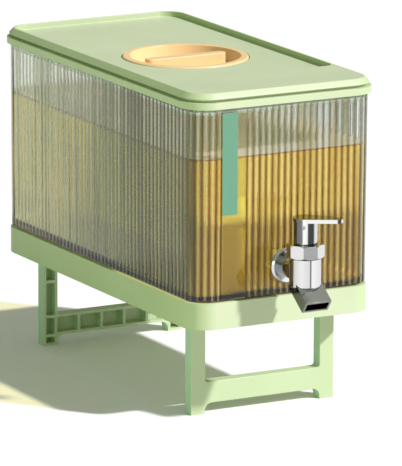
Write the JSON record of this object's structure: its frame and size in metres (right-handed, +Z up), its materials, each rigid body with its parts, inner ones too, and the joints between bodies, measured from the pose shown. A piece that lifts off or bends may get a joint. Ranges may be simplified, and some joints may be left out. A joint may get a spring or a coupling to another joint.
{
  "type": "drink dispenser jug",
  "caption": "Rectangular fluted drink jug with a chrome tap, lift-off lid with a turning fill cap, and a tray on two folding leg frames.",
  "frame": {"origin": "on the surface the jug stands on, in the middle of its whole length and width, tap included", "axes": "+X across the tap face to the right, +Y from the tap face to the back, +Z up"},
  "size_m": [0.1656, 0.381, 0.26],
  "materials": {
    "green_plastic": "satin",
    "leg_plastic": "satin",
    "clear_plastic": "gloss",
    "drink": "gloss",
    "strip": "satin",
    "chrome": "polished",
    "steel": "satin",
    "silicone": "matte",
    "valve_plastic": "satin",
    "cap_plastic": "satin"
  },
  "bodies": {
    "stand": {"base_tray": "green_plastic", "hinge_pins": "steel", "pin_clips": "steel"},
    "front_frame": {"front_leg": "leg_plastic"},
    "rear_frame": {"rear_leg": "leg_plastic"},
    "jug": {"jug_body": "clear_plastic", "level_strip": "strip", "tap_body": "chrome", "tap_flange": "chrome", "outer_washer": "silicone", "inner_washer": "silicone", "lock_nut": "valve_plastic", "collar_nut": "chrome", "stem_seal": "silicone"},
    "lever": {"valve_plug": "valve_plastic", "tap_handle": "chrome", "handle_pin": "steel"},
    "lid": {"lid": "green_plastic", "lid_seal": "silicone"},
    "cap_ring": {"cap_seal": "silicone"},
    "cap": {"fill_cap": "cap_plastic", "cap_plug": "cap_plastic"}
  },
  "joints": [
    {"name": "front_frame_fold", "type": "hinge", "parent": "stand", "child": "front_frame", "pos_m": [0, -0.0988, 0.08355], "axis": [1, 0, 0], "range_deg": [0, 90]},
    {"name": "rear_frame_fold", "type": "hinge", "parent": "stand", "child": "rear_frame", "pos_m": [0, 0.1517, 0.08355], "axis": [-1, 0, 0], "range_deg": [0, 90]},
    {"name": "jug_lift", "type": "slide", "parent": "stand", "child": "jug", "axis": [0, 0, 1], "range_m": [0, 0.12]},
    {"name": "tap_turn", "type": "hinge", "parent": "jug", "child": "lever", "pos_m": [0, -0.16909, 0.15], "axis": [0, 0, 1], "range_deg": [-50, 40]},
    {"name": "lid_lift", "type": "slide", "parent": "jug", "child": "lid", "axis": [0, 0, 1], "range_m": [0, 0.08]},
    {"name": "cap_lift", "type": "slide", "parent": "lid", "child": "cap_ring", "axis": [0, 0, 1], "range_m": [0, 0.06]},
    {"name": "cap_turn", "type": "hinge", "parent": "cap_ring", "child": "cap", "pos_m": [0, 0.02475, 0.25], "axis": [0, 0, -1], "range_deg": [0, 40]}
  ]
}
